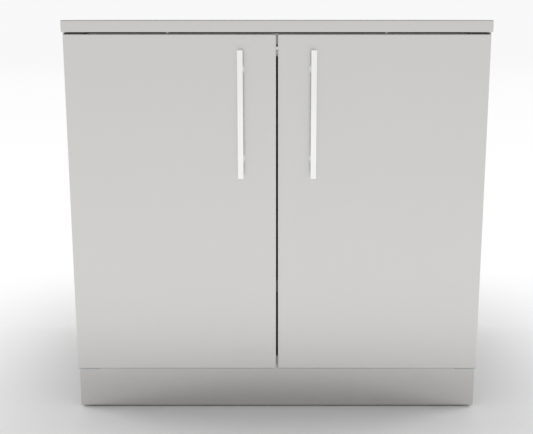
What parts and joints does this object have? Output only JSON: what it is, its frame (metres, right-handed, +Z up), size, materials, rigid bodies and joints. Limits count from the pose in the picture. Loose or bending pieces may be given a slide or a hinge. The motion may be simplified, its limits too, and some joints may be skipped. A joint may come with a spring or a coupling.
{
  "type": "two-door storage cabinet",
  "caption": "Free-standing base cabinet in satin stainless sheet: overlay doors on concealed pivots, square bar handles, a folded worktop, a set-back plinth and an adjustable shelf.",
  "frame": {"origin": "on the floor under the middle of the whole outline, handles included", "axes": "+X along the front to the viewer's right, +Y from the doors to the back, +Z up"},
  "size_m": [0.914, 0.639, 0.884],
  "materials": {
    "satin_stainless": "satin",
    "carcass_stainless": "satin",
    "polished_stainless": "polished",
    "core_board": "matte",
    "honeycomb": "matte",
    "zinc_steel": "satin",
    "pole_steel": "satin",
    "bright_nickel": "polished",
    "magnet": "matte",
    "white_plastic": "matte",
    "black_plastic": "matte",
    "clear_rubber": "matte"
  },
  "bodies": {
    "cabinet": {"back_panel": "carcass_stainless", "bottom_panel": "carcass_stainless", "catch_housing": "bright_nickel", "catch_magnets": "magnet", "catch_pole_plates": "pole_steel", "catch_screws": "zinc_steel", "foot_brackets": "zinc_steel", "foot_nuts": "zinc_steel", "left_pivot_brackets": "zinc_steel", "left_pivot_pins": "zinc_steel", "left_plinth_side": "satin_stainless", "left_side_liner": "carcass_stainless", "left_side_shell": "satin_stainless", "pivot_screws": "zinc_steel", "plinth_front": "satin_stainless", "plinth_rear": "satin_stainless", "rail_screws": "zinc_steel", "right_pivot_brackets": "zinc_steel", "right_pivot_pins": "zinc_steel", "right_plinth_side": "satin_stainless", "right_side_liner": "carcass_stainless", "right_side_shell": "satin_stainless", "shelf_clips": "zinc_steel", "top_front_rail": "carcass_stainless", "top_rear_rail": "carcass_stainless", "worktop_core": "core_board", "worktop_screws": "zinc_steel", "worktop_skin": "satin_stainless", "worktop_spacers": "black_plastic"},
    "left_door": {"left_door_bumpers": "clear_rubber", "left_door_bushes": "white_plastic", "left_door_core": "honeycomb", "left_door_liner": "carcass_stainless", "left_door_skin": "satin_stainless", "left_handle_bar": "polished_stainless", "left_handle_posts": "polished_stainless", "left_handle_screws": "zinc_steel", "left_strike_plate": "zinc_steel", "left_strike_screws": "zinc_steel"},
    "right_door": {"right_door_bumpers": "clear_rubber", "right_door_bushes": "white_plastic", "right_door_core": "honeycomb", "right_door_liner": "carcass_stainless", "right_door_skin": "satin_stainless", "right_handle_bar": "polished_stainless", "right_handle_posts": "polished_stainless", "right_handle_screws": "zinc_steel", "right_strike_plate": "zinc_steel", "right_strike_screws": "zinc_steel"},
    "shelf": {"shelf_tray": "carcass_stainless", "shelf_stiffener": "carcass_stainless"},
    "front_left_foot": {"front_left_foot_stem": "zinc_steel", "front_left_foot_pad": "black_plastic"},
    "front_right_foot": {"front_right_foot_stem": "zinc_steel", "front_right_foot_pad": "black_plastic"},
    "rear_left_foot": {"rear_left_foot_stem": "zinc_steel", "rear_left_foot_pad": "black_plastic"},
    "rear_right_foot": {"rear_right_foot_stem": "zinc_steel", "rear_right_foot_pad": "black_plastic"}
  },
  "joints": [
    {"name": "left_door_swing", "type": "hinge", "parent": "cabinet", "child": "left_door", "pos_m": [-0.449, -0.2745, 0.479], "axis": [0, 0, -1], "range_deg": [0, 180]},
    {"name": "right_door_swing", "type": "hinge", "parent": "cabinet", "child": "right_door", "pos_m": [0.449, -0.2745, 0.479], "axis": [0, 0, 1], "range_deg": [0, 180]},
    {"name": "shelf_lift", "type": "slide", "parent": "cabinet", "child": "shelf", "axis": [0, 0, 1], "range_m": [0, 0.06]},
    {"name": "front_left_foot_screw", "type": "slide", "parent": "cabinet", "child": "front_left_foot", "axis": [0, 0, -1], "range_m": [-0.003, 0.015]},
    {"name": "front_right_foot_screw", "type": "slide", "parent": "cabinet", "child": "front_right_foot", "axis": [0, 0, -1], "range_m": [-0.003, 0.015]},
    {"name": "rear_left_foot_screw", "type": "slide", "parent": "cabinet", "child": "rear_left_foot", "axis": [0, 0, -1], "range_m": [-0.003, 0.015]},
    {"name": "rear_right_foot_screw", "type": "slide", "parent": "cabinet", "child": "rear_right_foot", "axis": [0, 0, -1], "range_m": [-0.003, 0.015]}
  ]
}
